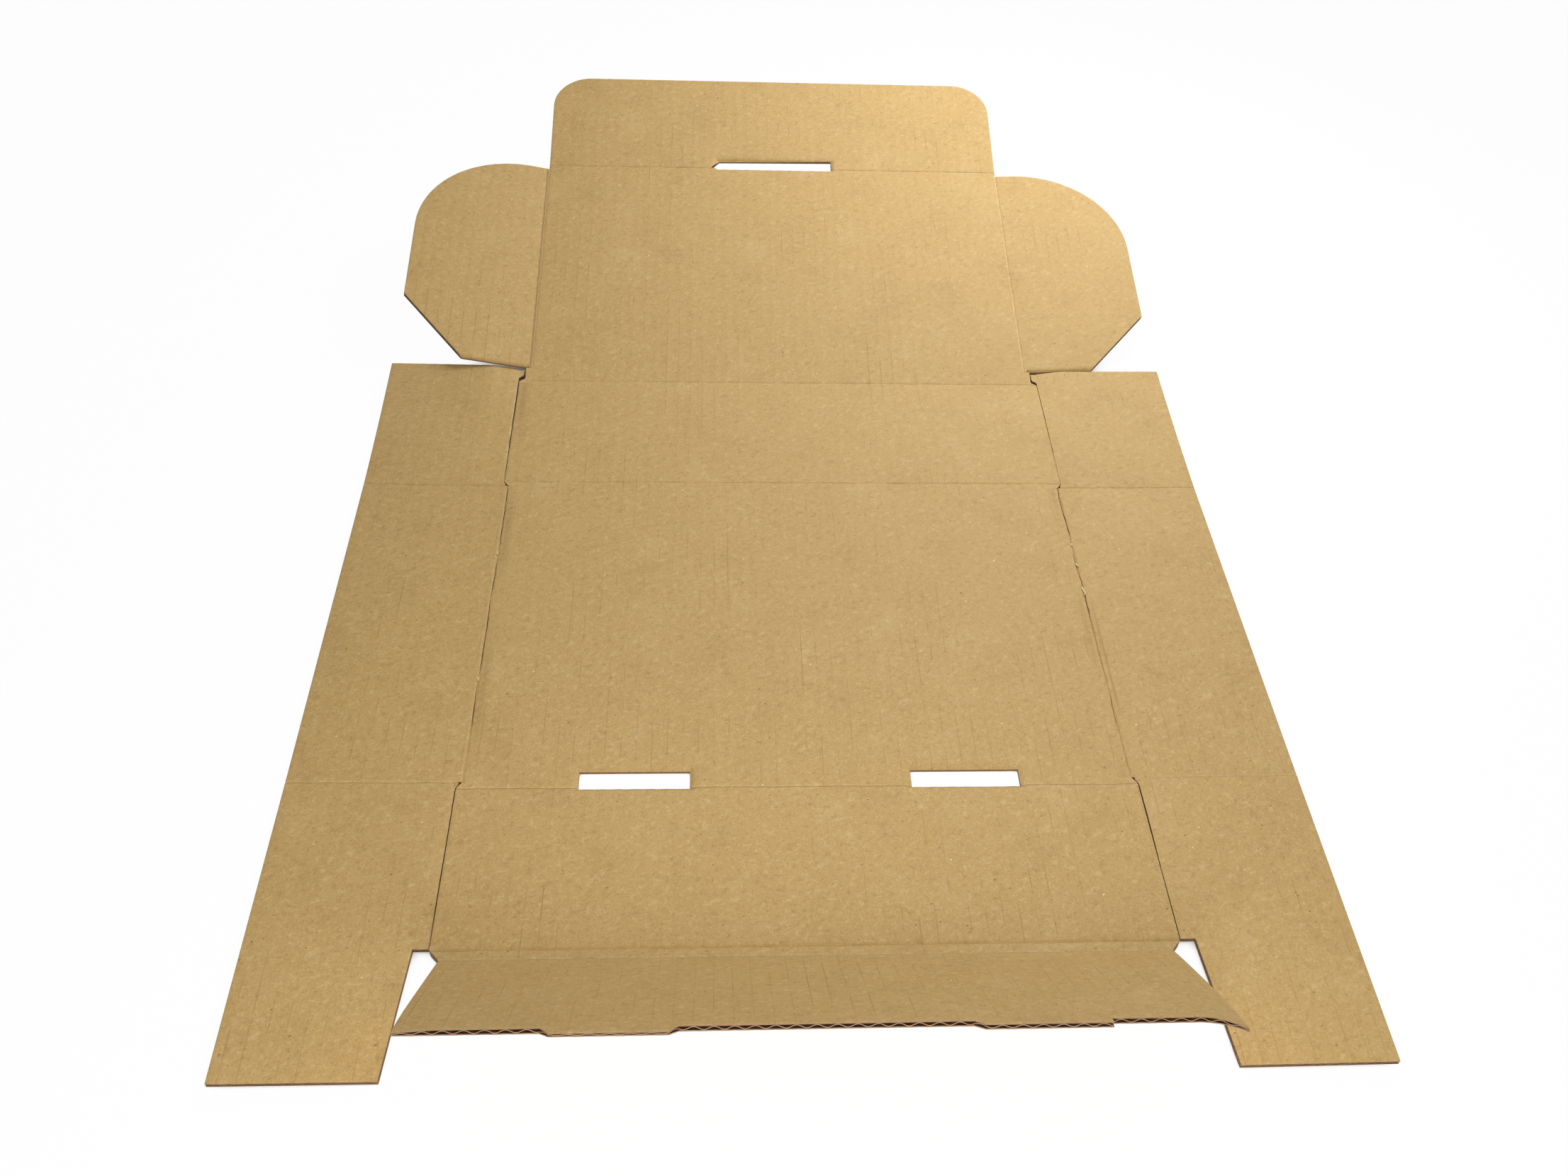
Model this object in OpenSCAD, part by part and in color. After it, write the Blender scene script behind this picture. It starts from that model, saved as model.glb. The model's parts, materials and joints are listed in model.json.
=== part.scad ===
// Die-cut mailer box of single-wall corrugated board, lying open as a flat blank.
// Each panel is drawn in the flat blank with its inside face up, and is then turned about
// its own crease to the angle at which it lies. X runs along the width, Y from front to
// back, and Z = 0 is the table under the middle of the base.

/* [Box] */
// Width of the base between the side creases
inner_w = 270; // [230:1:330]
// Depth of the base between the front and back creases
inner_d = 177; // [160:1:220]
// Height of the front wall between its two creases
front_h = 70; // [60:1:90]
// How far the side walls stay below the front wall
side_drop = 1; // [0.8:0.1:6]
// Room between the rolled front edge and the closed lid
lid_rise = 2.4; // [0.4:0.1:6]

/* [Board] */
// Thickness of the board
board_t = 2.6; // [2.2:0.1:3.4]
// Width of one flute
flute_pitch = 6.35; // [5:0.05:8]
// Thickness of each flat facing
liner_t = 0.35; // [0.25:0.05:0.5]
// Thickness of the wavy sheet between the facings
medium_t = 0.3; // [0.2:0.05:0.4]
// Depth of a pressed crease
score_depth = 0.7; // [0.3:0.1:1]
// Half the width of a pressed crease
score_half_w = 1.4; // [0.8:0.1:2]
// Length beside a crease in which the flutes are crushed shut
crush_l = 2.2; // [2:0.1:4]

/* [Rolled front] */
// Room for the corner flaps between the front wall and the lock flap
roll_room = 2.4; // [1:0.1:6]
// Room between each end of the lock flap and the side walls
lock_side_room = 2; // [1:0.1:6]
// Room between the lock flap and the base
lock_foot_room = 1.4; // [0.6:0.1:3]
// Length of the two lock tabs
tab_l = 3; // [1.5:0.1:3.6]
// How far each slanted end of a tab runs in
tab_slant = 3; // [1:0.1:8]
// Room between a tab and each end of its slot
tab_side_room = 1; // [0.4:0.1:3]
// Width of the slots in the base
slot_w = 44.5; // [25:0.5:60]
// Distance of each slot from the middle of the box
slot_offset = 67; // [45:0.5:80]

/* [Corner flaps] */
// Length of the front corner flaps
front_flap_l = 120; // [90:1:135]
// Step in the inner edge of the front corner flaps
flap_step = 7.5; // [2:0.1:15]
// How far before the end of the front wall that step lies
flap_step_lead = 1; // [0:0.1:5]

/* [Lid] */
// Room between the lid and each side wall
lid_side_room = 0.9; // [0.5:0.1:4]
// Room between the closed tuck flap and the lock flap
tuck_room = 6.8; // [1:0.1:12]
// Length of the lid's slanted shoulder beside the back wall
shoulder_l = 4.6; // [2:0.1:7]
// Room between the closed tuck flap and the base
tuck_foot_room = 6; // [3:0.5:20]
// Radius of the tuck flap's two corners
tuck_r = 22; // [5:0.5:35]
// Width of the slot at the root of the tuck flap
tuck_slot_w = 67.5; // [40:0.5:90]
// Depth of the slot at the root of the tuck flap
tuck_slot_d = 3.9; // [2:0.1:3.9]

/* [Lid ears] */
// Room between the closed ears and the base
ear_foot_room = 5.5; // [3:0.5:20]
// Straight run of an ear's front edge before its large round corner
ear_root = 8.5; // [3:0.5:20]
// Distance of an ear's front edge from the tuck crease
ear_front_gap = 3; // [1:0.1:10]
// Distance of an ear's back edge from the lid crease
ear_back_gap = 9.5; // [8:0.1:15]
// Width of the slanted cut on an ear's back corner
ear_cut_w = 33; // [15:0.5:45]
// Length of the slanted cut on an ear's back corner
ear_cut_l = 36.5; // [15:0.5:50]

/* [Cuts and clearances] */
// Gap at a cut between two panels
cut_gap = 0.9; // [0.8:0.1:1.4]
// Gap between an ear and the corner flap behind it
ear_gap = 2.8; // [2.6:0.1:4]
// Gap at a crease between two panels
crease_gap = 0.1; // [0.05:0.05:0.2]
// Room between folded panels that lie against each other
fold_room = 0.4; // [0.3:0.1:0.8]
// Width of the knife cuts along the side creases
slit_w = 0.5; // [0.3:0.1:0.8]

/* [Angles as it lies] */
// Lift of the front wall
front_wall_lift = 1.4; // [0:0.1:1.5]
// Turn of the narrow strip against the front wall
strip_lift = 19; // [0:1:60]
// Turn of the lock flap against the strip
lock_lift = 26.5; // [0:0.5:60]
// Lift of the back wall
back_wall_lift = 1.4; // [0:0.1:1.5]
// Turn of the lid against the back wall
lid_lift = 11; // [0:0.5:40]
// Turn of the tuck flap against the lid
tuck_lift = 5; // [0:0.5:40]
// Turn of the left ear against the lid
left_ear_lift = 13; // [0:0.5:40]
// Turn of the right ear against the lid
right_ear_lift = 3.5; // [0:0.5:40]
// Lift of both side walls
side_lift = 0.7; // [0:0.1:1]
// Turn of the front corner flaps against the side walls
front_flap_lift = 0.6; // [0:0.1:0.8]
// Turn of the back corner flaps against the side walls
back_flap_lift = 1.6; // [0:0.1:1.8]

/* [Hidden] */
$fn = 96;
KRAFT = "#b58d62";
LEFT = -1;
RIGHT = 1;
FRONT = -1;
BACK = 1;

// Heights and lengths that follow from how the closed box nests
back_h = front_h + board_t + lid_rise;
side_h = front_h - side_drop;
strip_d = board_t + roll_room;
flap_inset = board_t + fold_room;
wall_over = board_t - fold_room;
lock_l = front_h - lock_foot_room;
lid_l = inner_d - strip_d - 2 * board_t - tuck_room;
tuck_l = back_h - tuck_foot_room;
ear_w = back_h - ear_foot_room;
ear_r = ear_w - ear_root;
back_flap_l = back_h + flap_inset + ear_back_gap - ear_gap;
slot_d = strip_d + board_t + fold_room;

// Lines of the flat blank
half_w = inner_w / 2;
half_d = inner_d / 2;
wall_half = half_w + wall_over;
lock_half = half_w - lock_side_room;
lid_half = half_w - board_t - lid_side_room;
side_out = half_w + side_h;
flap_y = half_d - flap_inset;
flap_in = wall_half + cut_gap;
strip_y = -half_d - front_h;
lock_y = strip_y - strip_d;
lid_y = half_d + back_h;
tuck_y = lid_y + lid_l;

// Knife cuts along each side crease: distance of each start and end from the back crease
side_slits = [[5, 37], [47, 105], [123, 142]];

// Section of the flutes
flute_h = board_t - 2 * liner_t - medium_t;
channel_half = 0.42 * flute_pitch;
channel_steps = 6;
channel_rim = 0.6;
over = 1;

// Turns a panel about a crease along X, which lies on the inside face of the board
module fold_on_x(y, angle) {
    translate([0, y, board_t]) rotate([angle, 0, 0]) translate([0, -y, -board_t]) children();
}

// Turns a panel about a crease along Y, which lies on the inside face of the board
module fold_on_y(x, angle) {
    translate([x, 0, board_t]) rotate([0, angle, 0]) translate([-x, 0, -board_t]) children();
}

// A right-hand shape, or its left-hand mirror image
module on_side(side) {
    if (side == LEFT) mirror([1, 0, 0]) children();
    else children();
}

// The valley that a creasing rule presses into the inside face
module score_profile() {
    polygon([[0, -score_depth], [2 * score_half_w, score_depth], [-2 * score_half_w, score_depth]]);
}

module score_on_x(y) {
    translate([0, y, board_t]) rotate([90, 0, 90])
        linear_extrude(4 * inner_w, center = true) score_profile();
}

module score_on_y(x) {
    translate([x, 0, board_t]) rotate([90, 0, 0])
        linear_extrude(8 * inner_d, center = true) score_profile();
}

// Height of the wavy sheet's upper face above the underside, at x from the middle of a channel
function medium_top(x) =
    board_t / 2 + medium_t / 2 - flute_h / 2 * cos(360 * x / flute_pitch);

// The hollow between the wavy sheet and the upper facing
module channel_profile() {
    arc = [
        for (i = [1 : channel_steps - 1])
            let (x = channel_half * (2 * i / channel_steps - 1)) [x, medium_top(x)]
    ];
    polygon(concat([[-channel_half, board_t - liner_t]], arc, [[channel_half, board_t - liner_t]]));
}

// All the hollows between x0 and x1, on both sides of the wavy sheet, running from y0 to y1
module flutes(x0, x1, y0, y1) {
    first = (x0 + channel_rim + channel_half) / flute_pitch;
    last = (x1 - channel_rim - channel_half) / flute_pitch;
    translate([0, y1, 0]) rotate([90, 0, 0]) linear_extrude(y1 - y0) {
        for (k = [ceil(first) : floor(last)])
            translate([k * flute_pitch, 0]) channel_profile();
        for (k = [ceil(first - 0.5) : floor(last - 0.5)])
            translate([(k + 0.5) * flute_pitch, board_t]) mirror([0, 1]) channel_profile();
    }
}

// Base with its four flared corners, two lock slots and the knife cuts on its side creases
module base_panel() {
    color(KRAFT) difference() {
        linear_extrude(board_t) polygon([
            [-wall_half, -half_d], [wall_half, -half_d], [half_w, -flap_y], [half_w, flap_y],
            [wall_half, half_d], [-wall_half, half_d], [-half_w, flap_y], [-half_w, -flap_y]
        ]);
        for (side = [LEFT, RIGHT]) {
            translate([side * slot_offset - slot_w / 2, -half_d - over, -over])
                cube([slot_w, slot_d + over, board_t + 2 * over]);
            for (slit = side_slits)
                translate([side * half_w - slit_w, half_d - slit[1], -over])
                    cube([2 * slit_w, slit[1] - slit[0], board_t + 2 * over]);
            score_on_y(side * half_w);
        }
        for (end = [FRONT, BACK]) score_on_x(end * half_d);
    }
}

// Side wall between its two corner flaps
module side_wall(side) {
    color(KRAFT) on_side(side) fold_on_y(half_w, -side_lift) difference() {
        translate([half_w + crease_gap, -flap_y + crease_gap, 0])
            cube([side_h - crease_gap, 2 * (flap_y - crease_gap), board_t]);
        score_on_y(half_w);
        for (end = [FRONT, BACK]) score_on_x(end * flap_y);
    }
}

// Corner flap in the blank, towards +Y, with a step in its inner edge at step_y
module corner_flap_board(length, step_y, step) {
    root = flap_y + crease_gap;
    tip = flap_y + length;
    difference() {
        linear_extrude(board_t) polygon([
            [flap_in, root], [side_out, root], [side_out, tip], [flap_in + step, tip],
            [flap_in + step, step_y], [flap_in, step_y]
        ]);
        flutes(flap_in, side_out, root + crush_l, tip + over);
        score_on_x(flap_y);
    }
}

module back_corner_flap(side) {
    middle = half_d + back_h / 2;
    color(KRAFT) on_side(side) fold_on_y(half_w, -side_lift) fold_on_x(flap_y, back_flap_lift)
        corner_flap_board(back_flap_l, middle, 0);
}

module front_corner_flap(side) {
    step_y = half_d + front_h - flap_step_lead;
    color(KRAFT) on_side(side) fold_on_y(half_w, -side_lift) fold_on_x(-flap_y, -front_flap_lift)
        mirror([0, 1, 0]) corner_flap_board(front_flap_l, step_y, flap_step);
}

// Carries what is folded together with the front wall, and with the strip on it
module with_front_wall() { fold_on_x(-half_d, -front_wall_lift) children(); }
module with_strip() { with_front_wall() fold_on_x(strip_y, -strip_lift) children(); }

module front_wall() {
    color(KRAFT) with_front_wall() difference() {
        translate([-wall_half, strip_y, 0]) cube([2 * wall_half, front_h - crease_gap, board_t]);
        score_on_x(-half_d);
        score_on_x(strip_y);
    }
}

// Narrow strip that becomes the top of the rolled front edge, with slanted ends
module rollover_strip() {
    near = strip_y - crease_gap;
    color(KRAFT) with_strip() difference() {
        linear_extrude(board_t) polygon([
            [-wall_half, near], [-lock_half, lock_y], [lock_half, lock_y], [wall_half, near]
        ]);
        score_on_x(strip_y);
        score_on_x(lock_y);
    }
}

// Tab with slanted ends on the free edge of the lock flap
module lock_tab(edge_y) {
    foot = slot_w / 2 - tab_side_room;
    polygon([
        [-foot, edge_y + over], [-foot, edge_y], [tab_slant - foot, edge_y - tab_l],
        [foot - tab_slant, edge_y - tab_l], [foot, edge_y], [foot, edge_y + over]
    ]);
}

// Inner front flap whose tabs lock into the base
module lock_flap() {
    edge_y = lock_y - lock_l;
    color(KRAFT) with_strip() fold_on_x(lock_y, -lock_lift) difference() {
        linear_extrude(board_t) {
            translate([-lock_half, edge_y]) square([2 * lock_half, lock_l - crease_gap]);
            for (side = [LEFT, RIGHT]) translate([side * slot_offset, 0]) lock_tab(edge_y);
        }
        flutes(-lock_half, lock_half, edge_y - tab_l - over, lock_y - crush_l);
        score_on_x(lock_y);
    }
}

// Carries what is folded together with the back wall, and with the lid on it
module with_back_wall() { fold_on_x(half_d, back_wall_lift) children(); }
module with_lid() { with_back_wall() fold_on_x(lid_y, lid_lift) children(); }

module back_wall() {
    color(KRAFT) with_back_wall() difference() {
        translate([-wall_half, half_d + crease_gap, 0])
            cube([2 * wall_half, back_h - crease_gap, board_t]);
        score_on_x(half_d);
        score_on_x(lid_y);
    }
}

// Lid with the slanted shoulders that widen it to the back wall
module lid() {
    near = lid_y + crease_gap;
    color(KRAFT) with_lid() difference() {
        linear_extrude(board_t) polygon([
            [-wall_half, near], [wall_half, near], [lid_half, lid_y + shoulder_l],
            [lid_half, tuck_y], [-lid_half, tuck_y], [-lid_half, lid_y + shoulder_l]
        ]);
        score_on_x(lid_y);
        score_on_x(tuck_y);
        for (side = [LEFT, RIGHT]) score_on_y(side * lid_half);
    }
}

// Tuck flap with two round corners and a slot at its root
module tuck_flap() {
    near = tuck_y + crease_gap;
    far = tuck_y + tuck_l;
    color(KRAFT) with_lid() fold_on_x(tuck_y, tuck_lift) difference() {
        linear_extrude(board_t) difference() {
            union() {
                translate([-lid_half, near]) square([2 * lid_half, far - tuck_r - near]);
                translate([tuck_r - lid_half, near]) square([2 * (lid_half - tuck_r), far - near]);
                for (side = [LEFT, RIGHT])
                    translate([side * (lid_half - tuck_r), far - tuck_r]) circle(tuck_r);
            }
            translate([-tuck_slot_w / 2, near - over]) square([tuck_slot_w, tuck_slot_d + over]);
        }
        flutes(-lid_half, lid_half, near + crush_l, far + over);
        score_on_x(tuck_y);
    }
}

// Ear of the lid: round towards the tuck flap, cut off slantwise towards the back wall
module ear_outline() {
    near = lid_half + crease_gap;
    far = lid_half + ear_w;
    back = lid_y + ear_back_gap;
    front = tuck_y - ear_front_gap;
    polygon([
        [near, back], [far - ear_cut_w, back], [far, back + ear_cut_l],
        [far, front - ear_r], [far - ear_r, front - ear_r], [far - ear_r, front], [near, front]
    ]);
    intersection() {
        translate([far - ear_r, front - ear_r]) circle(ear_r);
        translate([far - ear_r, front - ear_r]) square(ear_r);
    }
}

module ear(side, lift) {
    back = lid_y + ear_back_gap - over;
    color(KRAFT) with_lid() on_side(side) fold_on_y(lid_half, -lift) difference() {
        linear_extrude(board_t) ear_outline();
        flutes(lid_half + crush_l, lid_half + ear_w, back, tuck_y);
        score_on_y(lid_half);
    }
}

base_panel();
front_wall();
rollover_strip();
lock_flap();
side_wall(LEFT);  // left_side_wall
side_wall(RIGHT);  // right_side_wall
front_corner_flap(LEFT);  // left_front_corner_flap
front_corner_flap(RIGHT);  // right_front_corner_flap
back_corner_flap(LEFT);  // left_back_corner_flap
back_corner_flap(RIGHT);  // right_back_corner_flap
back_wall();
lid();
tuck_flap();
ear(LEFT, left_ear_lift);  // left_ear
ear(RIGHT, right_ear_lift);  // right_ear
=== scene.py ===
import json
import math

import bpy
import numpy as np
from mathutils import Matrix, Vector

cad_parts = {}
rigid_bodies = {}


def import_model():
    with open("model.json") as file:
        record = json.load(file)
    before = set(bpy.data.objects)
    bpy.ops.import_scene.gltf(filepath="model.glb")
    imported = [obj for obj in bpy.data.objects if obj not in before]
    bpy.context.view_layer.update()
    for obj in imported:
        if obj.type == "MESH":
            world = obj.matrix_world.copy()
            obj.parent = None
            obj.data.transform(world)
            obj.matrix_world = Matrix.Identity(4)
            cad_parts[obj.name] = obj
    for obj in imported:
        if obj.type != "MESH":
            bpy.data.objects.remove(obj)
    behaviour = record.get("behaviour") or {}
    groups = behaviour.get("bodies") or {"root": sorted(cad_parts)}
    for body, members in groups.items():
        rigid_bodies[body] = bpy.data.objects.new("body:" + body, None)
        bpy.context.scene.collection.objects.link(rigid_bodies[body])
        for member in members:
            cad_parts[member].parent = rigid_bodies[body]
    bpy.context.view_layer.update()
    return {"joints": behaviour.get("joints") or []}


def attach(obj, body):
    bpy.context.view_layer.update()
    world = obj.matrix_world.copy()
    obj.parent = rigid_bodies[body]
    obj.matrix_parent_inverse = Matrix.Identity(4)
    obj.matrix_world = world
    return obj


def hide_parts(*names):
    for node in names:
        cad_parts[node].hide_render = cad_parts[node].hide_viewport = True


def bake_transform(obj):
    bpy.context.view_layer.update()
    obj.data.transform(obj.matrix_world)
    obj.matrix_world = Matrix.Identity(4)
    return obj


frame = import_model()
MM = 0.001

# Camera. The blank is seen from in front and above, a little left of its middle, through a
# wide lens; place and turn follow from where its creases lie in the picture.
CAMERA_PLACE = (-34.76 * MM, -379.57 * MM, 442.55 * MM)
CAMERA_TURN = (42.185, -2.27, -2.016)
bpy.ops.object.camera_add(
    location=CAMERA_PLACE, rotation=[math.radians(a) for a in CAMERA_TURN]
)
camera = bpy.context.object
camera.data.sensor_fit = "HORIZONTAL"
camera.data.sensor_width = 36
camera.data.lens = 29.88
bpy.context.scene.camera = camera


# Kraft facing. Unbleached paper from wood pulp, pressed and dried on a cylinder: a dull tan skin
# with short pale and dark fibres, soft clouds where the pulp lies thicker, and broken dark lines
# where the glued tips of the flutes show through it. Creases leave pale cracked lines on it.
FLUTE_PITCH = 6.35 * MM
# Size in mm, turn, detail, distortion, where dark and pale start and are full, most, height
PULP_LAYERS = (
    ((26, 26, 26), 0.0, 3.0, 0.3, (0.5, 0.2), (0.52, 0.8), 0.2, 0.0),
    ((3.0, 2.2, 2.2), 0.5, 2.0, 0.4, (0.46, 0.26), (0.54, 0.74), 0.34, 0.0),
    ((1.9, 0.6, 0.6), 0.15, 1.5, 0.7, (0.42, 0.26), (0.58, 0.74), 0.34, 1.0),
    ((1.7, 0.6, 0.6), 1.25, 1.5, 0.7, (0.42, 0.26), (0.58, 0.74), 0.3, 1.0),
    ((1.8, 0.6, 0.6), -0.9, 1.5, 0.7, (0.42, 0.26), (0.58, 0.74), 0.3, 1.0),
    ((0.6, 0.6, 0.6), 0.3, 2.0, 0.0, (0.46, 0.22), (0.54, 0.78), 0.28, 1.0),
)
# Cell in mm, colour and share left out of the bits of bark and of bleached fibre
SPECKS = ((10, "#6B4F2C", 0.5), (9, "#EAD5A6", 0.45), (4.5, "#86642F", 0.5))
# Size in mm, start, end and most of the drift, patches and breaks of the flute lines
FLUTE_MASKS = (
    ((30, 90, 30), 0.0, 1.0, 1.0),
    ((38, 55, 38), 0.48, 0.66, 1.0),
    ((2.3, 13, 13), 0.4, 0.58, 0.55),
)
FLUTE_DRIFT = 0.4
LINE_HALF, LINE_CORE = 0.32, 0.06
# Middle and reach along Y in mm, and most, where the board was bent and the lines show more
BENT_STRIPS = ((-66, 30, 0.75), (-190, 34, 0.6))


def colour(hex_value):
    channels = [int(hex_value[i : i + 2], 16) / 255 for i in (1, 3, 5)]
    linear = [c / 12.92 if c <= 0.04045 else ((c + 0.055) / 1.055) ** 2.4 for c in channels]
    return (*linear, 1)


def add_node(tree, kind, inputs, **settings):
    node = tree.nodes.new(kind)
    for key, value in settings.items():
        setattr(node, key, value)
    for key, value in inputs.items():
        if isinstance(value, bpy.types.NodeSocket):
            tree.links.new(value, node.inputs[key])
        else:
            node.inputs[key].default_value = value
    return node


def paper_material(name, base, dark, pale, is_facing):
    material = bpy.data.materials.new(name)
    material.use_nodes = True
    tree = material.node_tree
    shader = tree.nodes["Principled BSDF"]
    place = add_node(tree, "ShaderNodeTexCoord", {}).outputs["Object"]
    # Object coordinates are in metres, and the patterns below are sized in millimetres
    in_mm = add_node(
        tree, "ShaderNodeMapping", {"Vector": place, "Scale": (1000, 1000, 1000)}
    ).outputs["Vector"]
    tone = colour(base)
    relief = 0.0
    for size, turn, detail, distortion, dark_at, pale_at, most, height in PULP_LAYERS:
        spread = add_node(
            tree,
            "ShaderNodeMapping",
            {"Vector": in_mm, "Scale": size, "Rotation": (0, 0, turn)},
            vector_type="TEXTURE",
        ).outputs["Vector"]
        pulp = add_node(
            tree,
            "ShaderNodeTexNoise",
            {"Vector": spread, "Scale": 1.0, "Detail": detail, "Roughness": 0.6,
             "Distortion": distortion},
        ).outputs["Fac"]
        for (start, full), tint in ((dark_at, dark), (pale_at, pale)):
            amount = add_node(
                tree,
                "ShaderNodeMapRange",
                {"Value": pulp, "From Min": start, "From Max": full, "To Max": most},
                interpolation_type="SMOOTHSTEP",
            ).outputs["Result"]
            tone = add_node(
                tree, "ShaderNodeMix", {"Factor": amount, 6: tone, 7: colour(tint)},
                data_type="RGBA",
            ).outputs[2]
        if height:
            relief = add_node(
                tree, "ShaderNodeMath", {0: pulp, 1: height, 2: relief}, operation="MULTIPLY_ADD"
            ).outputs["Value"]
    if is_facing:
        tone = show_specks(tree, in_mm, tone)
        tone = show_flutes(tree, in_mm, tone, dark)
        tone = show_creases(tree, in_mm, tone, dark, pale)
    bump = add_node(
        tree, "ShaderNodeBump", {"Height": relief, "Strength": 0.45, "Distance": 0.1 * MM}
    ).outputs["Normal"]
    rough = add_node(
        tree, "ShaderNodeMapRange",
        {"Value": relief, "From Min": 1.4, "From Max": 2.6, "To Min": 0.62, "To Max": 0.88},
    ).outputs["Result"]
    tree.links.new(tone, shader.inputs["Base Color"])
    tree.links.new(rough, shader.inputs["Roughness"])
    tree.links.new(bump, shader.inputs["Normal"])
    shader.inputs["IOR"].default_value = 1.47
    return material


def show_specks(tree, in_mm, tone):
    """One small bit in the middle of each cell, and none in the cells left out."""
    for cell, tint, left_out in SPECKS:
        spread = add_node(
            tree, "ShaderNodeMapping",
            {"Vector": in_mm, "Scale": (cell, 0.6 * cell, cell), "Rotation": (0, 0, 0.07 * cell)},
            vector_type="TEXTURE",
        ).outputs["Vector"]
        bits = add_node(tree, "ShaderNodeTexVoronoi", {"Vector": spread, "Scale": 1.0}).outputs
        draw = add_node(tree, "ShaderNodeSeparateColor", {"Color": bits["Color"]}).outputs["Red"]
        kept = add_node(
            tree, "ShaderNodeMapRange", {"Value": draw, "From Min": left_out, "From Max": 1.0}
        ).outputs["Result"]
        dot = add_node(
            tree, "ShaderNodeMapRange",
            {"Value": bits["Distance"], "From Min": 0.6 / cell, "From Max": 0.3 / cell},
            interpolation_type="SMOOTHSTEP",
        ).outputs["Result"]
        amount = add_node(
            tree, "ShaderNodeMath", {0: kept, 1: dot}, operation="MULTIPLY"
        ).outputs["Value"]
        tone = add_node(
            tree, "ShaderNodeMix", {"Factor": amount, 6: tone, 7: colour(tint)}, data_type="RGBA"
        ).outputs[2]
    return tone


def show_flutes(tree, in_mm, tone, dark):
    """Thin broken lines over the flute tips, in patches; a slow drift keeps them off the ruler."""
    masks = []
    for size, low, high, most in FLUTE_MASKS:
        spread = add_node(
            tree, "ShaderNodeMapping", {"Vector": in_mm, "Scale": size}, vector_type="TEXTURE"
        ).outputs["Vector"]
        patch = add_node(
            tree, "ShaderNodeTexNoise", {"Vector": spread, "Scale": 1.0, "Detail": 2.0}
        ).outputs["Fac"]
        masks.append(add_node(
            tree, "ShaderNodeMapRange",
            {"Value": patch, "From Min": low, "From Max": high, "To Max": most},
        ).outputs["Result"])
    drift, patches, breaks = masks
    place = add_node(tree, "ShaderNodeSeparateXYZ", {"Vector": in_mm}).outputs
    across = place["X"]
    # They show most where the board was bent: at the front of the base and on the lock flap
    for middle, reach, most in BENT_STRIPS:
        away = add_node(
            tree, "ShaderNodeMath", {0: place["Y"], 1: middle}, operation="SUBTRACT"
        ).outputs["Value"]
        away = add_node(tree, "ShaderNodeMath", {0: away}, operation="ABSOLUTE").outputs["Value"]
        bent = add_node(
            tree, "ShaderNodeMapRange",
            {"Value": away, "From Min": reach, "From Max": 0.3 * reach, "To Max": most},
        ).outputs["Result"]
        patches = add_node(
            tree, "ShaderNodeMath", {0: patches, 1: bent}, operation="MAXIMUM"
        ).outputs["Value"]
    drifted = add_node(
        tree, "ShaderNodeMath", {0: drift, 1: FLUTE_DRIFT, 2: across}, operation="MULTIPLY_ADD"
    ).outputs["Value"]
    half_pitch = FLUTE_PITCH / MM / 2
    from_valley = add_node(
        tree, "ShaderNodeMath", {0: drifted, 1: half_pitch}, operation="PINGPONG"
    ).outputs["Value"]
    line = add_node(
        tree, "ShaderNodeMapRange",
        {"Value": from_valley, "From Min": half_pitch - LINE_HALF,
         "From Max": half_pitch - LINE_CORE},
        interpolation_type="SMOOTHSTEP",
    ).outputs["Result"]
    for mask in (patches, breaks):
        line = add_node(tree, "ShaderNodeMath", {0: line, 1: mask}, operation="MULTIPLY").outputs[0]
    return add_node(
        tree, "ShaderNodeMix", {"Factor": line, 6: tone, 7: colour(dark)}, data_type="RGBA"
    ).outputs[2]


def show_creases(tree, in_mm, tone, dark, pale):
    """The attribute fibre_marks_and_painted_shade is above 0 where fibres cracked pale and below 0
    where shade is painted dark, in grooves and beside dipped and pressed places.
    """
    mark = add_node(tree, "ShaderNodeAttribute", {}, attribute_name="fibre_marks_and_painted_shade").outputs["Fac"]
    patch = add_node(
        tree, "ShaderNodeTexNoise", {"Vector": in_mm, "Scale": 0.35, "Detail": 3.0}
    ).outputs["Fac"]
    # The dark half is painted shade.
    for way, least, tint in ((1, 0.15, pale), (-1, -0.7, dark)):
        strength = add_node(
            tree, "ShaderNodeMapRange",
            {"Value": patch, "From Min": 0.36, "From Max": 0.6, "To Min": least, "To Max": way},
        ).outputs["Result"]
        amount = add_node(
            tree, "ShaderNodeMath", {0: mark, 1: strength}, operation="MULTIPLY", use_clamp=True
        ).outputs["Value"]
        tone = add_node(
            tree, "ShaderNodeMix", {"Factor": amount, 6: tone, 7: colour(tint)}, data_type="RGBA"
        ).outputs[2]
    return tone


kraft_facing = paper_material("kraft_facing", "#BB995D", "#8F6E3B", "#D8BD8A", True)

# Fluting paper. Thinner, duller paper that is steamed, pressed into waves between toothed rolls
# and glued to the facings. Its colour is made darker than the paper is, as painted shade for the
# closed flute channels, and the same material paints that shade on the inner faces of the facings
# and on the rims of the crease strips. Its own cut edge, and theirs, is dull and fuzzy where the
# die broke it.
fluting_paper_and_painted_shade = paper_material("fluting_paper_and_painted_shade", "#846347", "#644732", "#997858", False)
cut_edge = paper_material("cut_paper_edge", "#8A6B4C", "#6A4F36", "#A08262", False)


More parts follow.
